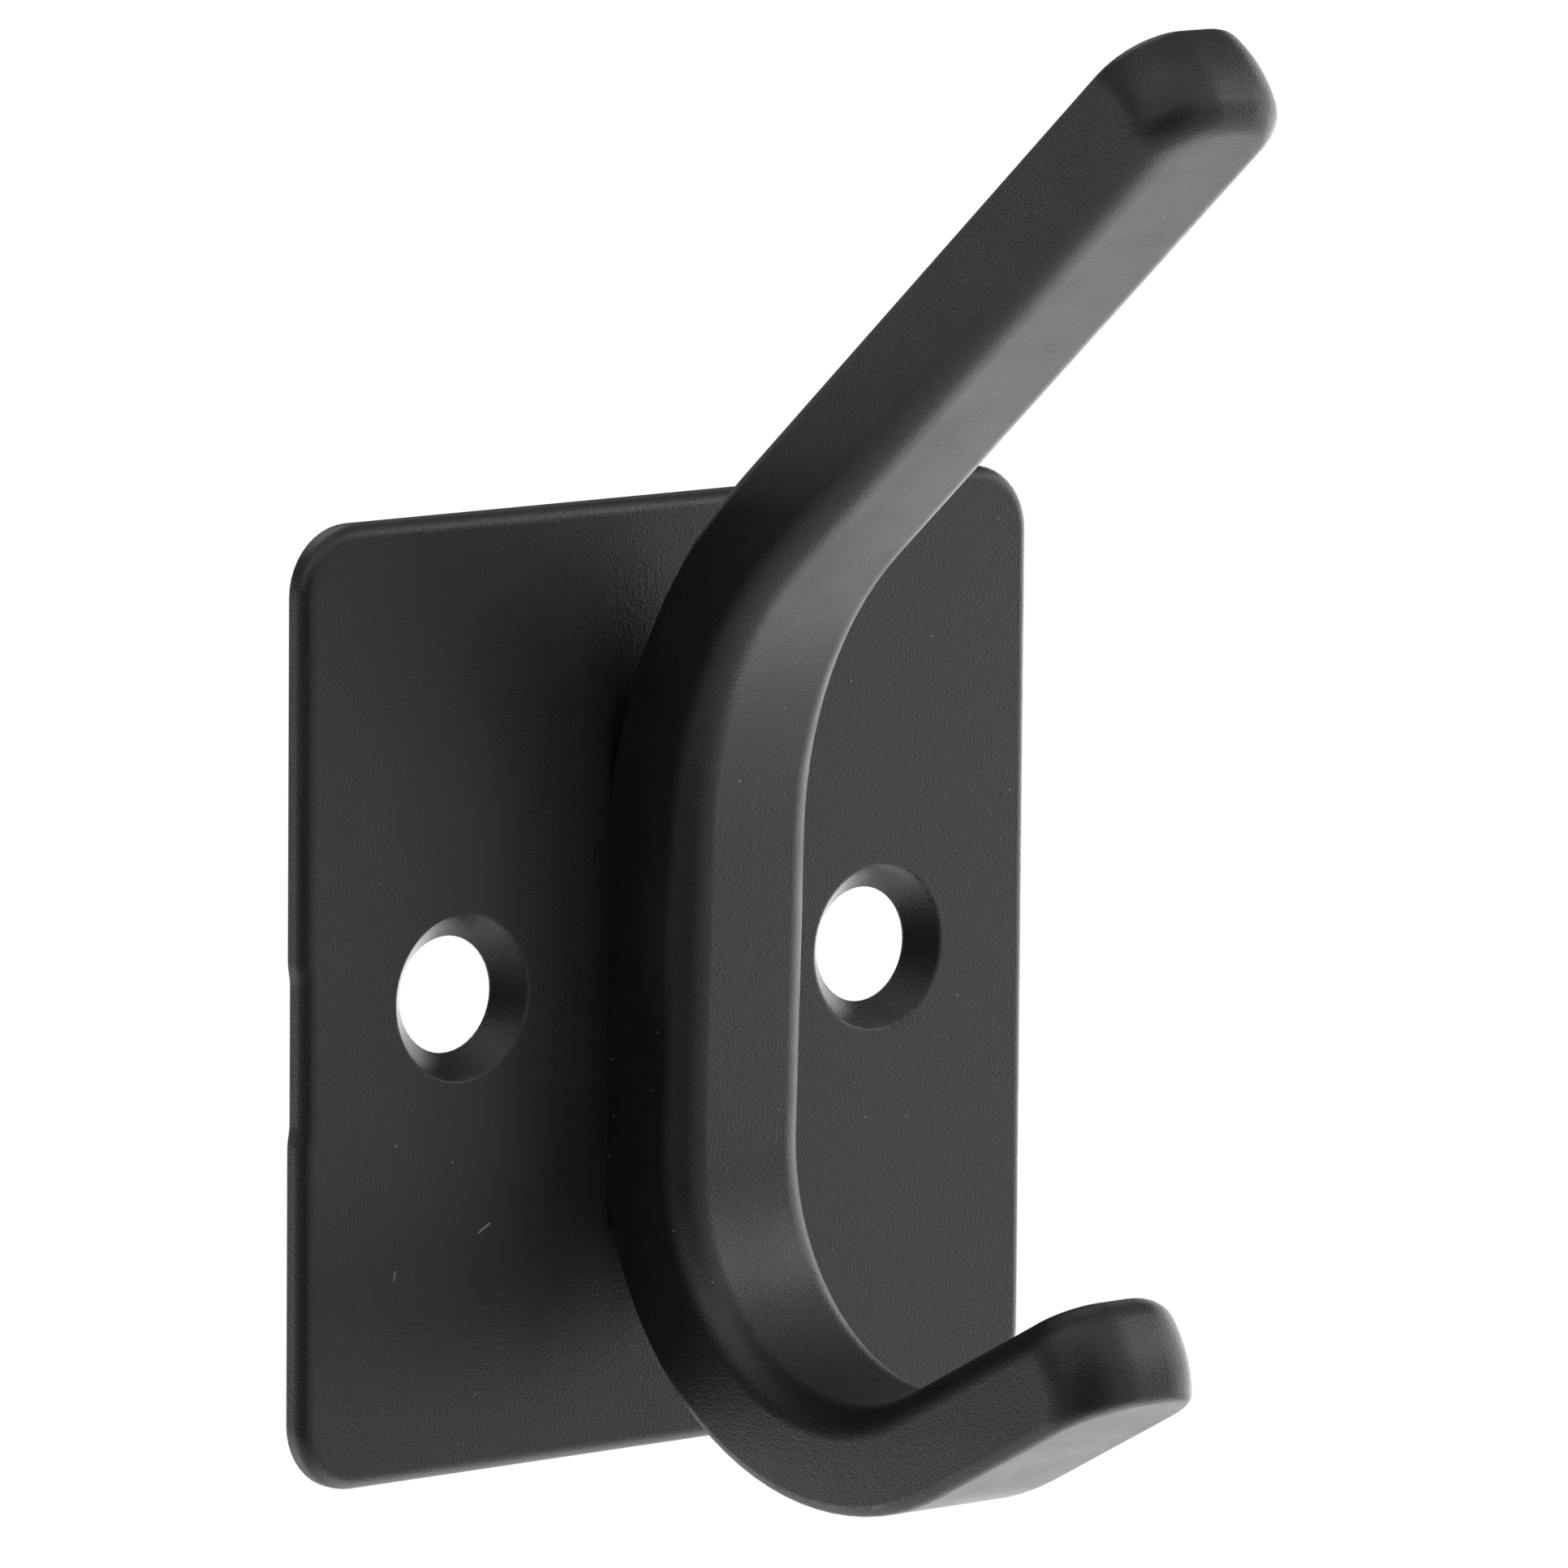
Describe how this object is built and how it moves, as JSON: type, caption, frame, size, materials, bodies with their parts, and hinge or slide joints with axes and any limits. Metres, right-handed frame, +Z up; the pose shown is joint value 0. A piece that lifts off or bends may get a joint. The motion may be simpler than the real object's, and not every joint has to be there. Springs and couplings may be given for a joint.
{
  "type": "wall hook",
  "caption": "Cast wall hook: a rounded back plate whose middle bar bends out into a long slanted arm above and a short upturned hook below.",
  "frame": {"origin": "on the wall face of the back plate, midway between the two screw holes", "axes": "+Z up, -Y out of the wall toward the room, +X to the right as seen from the room"},
  "size_m": [0.0444, 0.04, 0.0699],
  "materials": {
    "black_coat": "satin black coat with a fine grain"
  },
  "bodies": {
    "root": {"wall_hook": "black_coat"}
  },
  "joints": []
}
